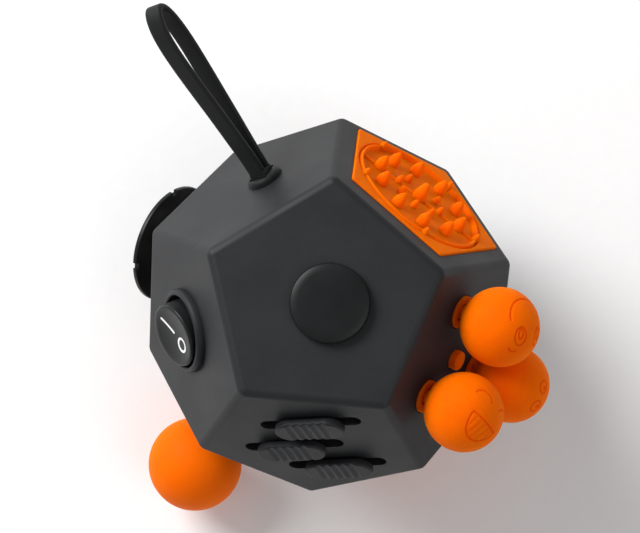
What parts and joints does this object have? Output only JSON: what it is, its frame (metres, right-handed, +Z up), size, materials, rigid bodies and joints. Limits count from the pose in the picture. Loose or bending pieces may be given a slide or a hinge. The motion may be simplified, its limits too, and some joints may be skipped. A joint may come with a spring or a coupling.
{
  "type": "twelve-sided fidget toy",
  "caption": "Pocket fidget toy: a rounded dodecahedron of two half shells with sliders, rocker, spinner, joystick, bobbing balls, buttons, spiky pad and a strap.",
  "frame": {"origin": "centre of the button face, level with the top of its guard rim, where the toy lies on a table", "axes": "+Z up through the middle of the body towards the glide pad's face, -Y towards the slider face, +X towards the side between the smiling balls and the spiky pad"},
  "size_m": [0.0703, 0.0793, 0.0572],
  "materials": {
    "shell_abs": "fine spark-eroded texture, moulded ABS",
    "black_abs": "satin moulded ABS",
    "orange_silicone": "soft satin silicone rubber",
    "orange_abs": "smooth moulded ABS",
    "black_silicone": "matt silicone rubber",
    "natural_acetal": "natural unfilled acetal, as moulded",
    "bright_steel": "bright drawn steel wire and polished steel ball"
  },
  "bodies": {
    "body": {"front_shell": "shell_abs", "rear_shell": "shell_abs", "seam_pin_1": "bright_steel", "seam_pin_2": "bright_steel", "seam_pin_3": "bright_steel", "seam_pin_4": "bright_steel", "seam_pin_5": "bright_steel", "glide_retainer": "natural_acetal", "switch_housing": "black_abs", "rocker_pin": "bright_steel", "detent_spring": "bright_steel", "slider_cover": "black_abs", "smile_base": "orange_silicone", "spike_pad": "orange_silicone", "lanyard_grommet": "black_silicone", "lanyard_pin": "bright_steel", "spin_bush": "natural_acetal", "joystick_cup": "natural_acetal", "joystick_spring": "bright_steel", "button_tray": "black_abs", "button_mat": "black_silicone", "button_back": "natural_acetal", "gear_axle": "bright_steel", "gear_cradle": "natural_acetal", "rolling_cup": "natural_acetal", "worry_dish": "orange_silicone"},
    "carriage": {"glide_carriage": "natural_acetal"},
    "glide": {"glide_cap": "black_abs", "glide_flange": "black_abs", "glide_washer": "black_silicone"},
    "rocker": {"rocker": "black_abs"},
    "slider_1": {"slider_knob_1": "black_abs", "slider_foot_1": "black_abs"},
    "slider_2": {"slider_knob_2": "black_abs", "slider_foot_2": "black_abs"},
    "slider_3": {"slider_knob_3": "black_abs", "slider_foot_3": "black_abs"},
    "neck_1": {"ball_neck_1": "orange_silicone"},
    "smile_1": {"smile_ball_1": "orange_silicone"},
    "neck_2": {"ball_neck_2": "orange_silicone"},
    "smile_2": {"smile_ball_2": "orange_silicone"},
    "neck_3": {"ball_neck_3": "orange_silicone"},
    "smile_3": {"smile_ball_3": "orange_silicone"},
    "strap": {"lanyard_loop": "black_silicone"},
    "spinner": {"spin_disc": "black_abs", "spin_shaft": "black_abs", "spin_clip": "bright_steel"},
    "gimbal": {"joystick_gimbal": "natural_acetal"},
    "stick": {"joystick_stick": "black_abs", "joystick_ball": "orange_abs"},
    "button_1": {"button_1": "black_abs"},
    "button_2": {"button_2": "orange_silicone"},
    "button_3": {"button_3": "black_abs"},
    "button_4": {"button_4": "orange_silicone"},
    "button_5": {"button_5": "black_abs"},
    "gear_1": {"thumb_gear_1": "black_abs"},
    "gear_2": {"thumb_gear_2": "orange_abs"},
    "gear_3": {"thumb_gear_3": "black_abs"},
    "rolling_ball": {"rolling_ball": "bright_steel"}
  },
  "joints": [
    {"name": "glide_x", "type": "slide", "parent": "body", "child": "carriage", "axis": [1, 0, 0], "range_m": [-0.0027, 0.0003]},
    {"name": "glide_y", "type": "slide", "parent": "carriage", "child": "glide", "axis": [0, 1, 0], "range_m": [-0.0011, 0.0019]},
    {"name": "rocker_tilt", "type": "hinge", "parent": "body", "child": "rocker", "pos_m": [-0.02151, -0.00615, 0.03818], "axis": [-0.2305, -0.5685, -0.7897], "range_deg": [0, 23]},
    {"name": "slide_1", "type": "slide", "parent": "body", "child": "slider_1", "axis": [0.9511, 0.1382, 0.2764], "range_m": [-0.0038, 0.0038]},
    {"name": "slide_2", "type": "slide", "parent": "body", "child": "slider_2", "axis": [0.9511, 0.1382, 0.2764], "range_m": [-0.0035, 0.0041]},
    {"name": "slide_3", "type": "slide", "parent": "body", "child": "slider_3", "axis": [0.9511, 0.1382, 0.2764], "range_m": [-0.0042, 0.0034]},
    {"name": "neck_lean_1", "type": "hinge", "parent": "body", "child": "neck_1", "pos_m": [0.02155, 0.00056, 0.0418], "axis": [-0.5229, -0.3558, 0.7746], "range_deg": [-7, 12], "stiffness_Nm_per_rad": 0.02},
    {"name": "ball_sway_1", "type": "hinge", "parent": "neck_1", "child": "smile_1", "pos_m": [0.02206, 0.00039, 0.04207], "axis": [0.055, 0.8927, 0.4472], "range_deg": [-8, 8], "stiffness_Nm_per_rad": 0.02},
    {"name": "neck_lean_2", "type": "hinge", "parent": "body", "child": "neck_2", "pos_m": [0.01711, -0.01312, 0.0418], "axis": [0.2138, -0.5952, -0.7746], "range_deg": [-7, 12], "stiffness_Nm_per_rad": 0.02},
    {"name": "ball_sway_2", "type": "hinge", "parent": "neck_2", "child": "smile_2", "pos_m": [0.01762, -0.01328, 0.04207], "axis": [-0.4803, -0.7545, 0.4472], "range_deg": [-8, 8], "stiffness_Nm_per_rad": 0.02},
    {"name": "neck_lean_3", "type": "hinge", "parent": "body", "child": "neck_3", "pos_m": [0.02463, -0.008, 0.03067], "axis": [0.309, 0.9511, 0], "range_deg": [-7, 12], "stiffness_Nm_per_rad": 0.02},
    {"name": "ball_sway_3", "type": "hinge", "parent": "neck_3", "child": "smile_3", "pos_m": [0.02514, -0.00817, 0.03094], "axis": [0.4253, -0.1382, -0.8944], "range_deg": [-8, 8], "stiffness_Nm_per_rad": 0.02},
    {"name": "strap_bend", "type": "hinge", "parent": "body", "child": "strap", "pos_m": [-0.01147, 0.01919, 0.03925], "axis": [0.809, 0.2629, 0.5257], "range_deg": [-25, 25], "stiffness_Nm_per_rad": 0.005},
    {"name": "spin", "type": "hinge", "parent": "body", "child": "spinner", "pos_m": [-0.02127, 0.00691, 0.01582], "axis": [-0.8507, 0.2764, -0.4472], "continuous": true},
    {"name": "stick_tilt_x", "type": "hinge", "parent": "body", "child": "gimbal", "pos_m": [-0.01078, -0.01483, 0.01783], "axis": [0.809, -0.5878, 0], "range_deg": [-12, 12], "stiffness_Nm_per_rad": 0.06},
    {"name": "stick_tilt_y", "type": "hinge", "parent": "gimbal", "child": "stick", "pos_m": [-0.01078, -0.01483, 0.01783], "axis": [-0.2629, -0.3618, 0.8944], "range_deg": [-12, 12], "stiffness_Nm_per_rad": 0.06},
    {"name": "press_1", "type": "slide", "parent": "body", "child": "button_1", "axis": [0, 0, 1], "range_m": [0, 0.0011], "stiffness_N_per_m": 200},
    {"name": "press_2", "type": "slide", "parent": "body", "child": "button_2", "axis": [0, 0, 1], "range_m": [0, 0.0011], "stiffness_N_per_m": 200},
    {"name": "press_3", "type": "slide", "parent": "body", "child": "button_3", "axis": [0, 0, 1], "range_m": [0, 0.0011], "stiffness_N_per_m": 200},
    {"name": "press_4", "type": "slide", "parent": "body", "child": "button_4", "axis": [0, 0, 1], "range_m": [0, 0.0011], "stiffness_N_per_m": 200},
    {"name": "press_5", "type": "slide", "parent": "body", "child": "button_5", "axis": [0, 0, 1], "range_m": [0, 0.0011], "stiffness_N_per_m": 200},
    {"name": "gear_turn_1", "type": "hinge", "parent": "body", "child": "gear_1", "pos_m": [0.0054, 0.01959, 0.01721], "axis": [-1, 0, 0], "continuous": true},
    {"name": "gear_turn_2", "type": "hinge", "parent": "body", "child": "gear_2", "pos_m": [0, 0.01959, 0.01721], "axis": [-1, 0, 0], "continuous": true},
    {"name": "gear_turn_3", "type": "hinge", "parent": "body", "child": "gear_3", "pos_m": [-0.0054, 0.01959, 0.01721], "axis": [-1, 0, 0], "continuous": true},
    {"name": "ball_roll", "type": "hinge", "parent": "body", "child": "rolling_ball", "pos_m": [0.01905, 0.00619, 0.01698], "axis": [-0.309, 0.9511, 0], "continuous": true}
  ]
}
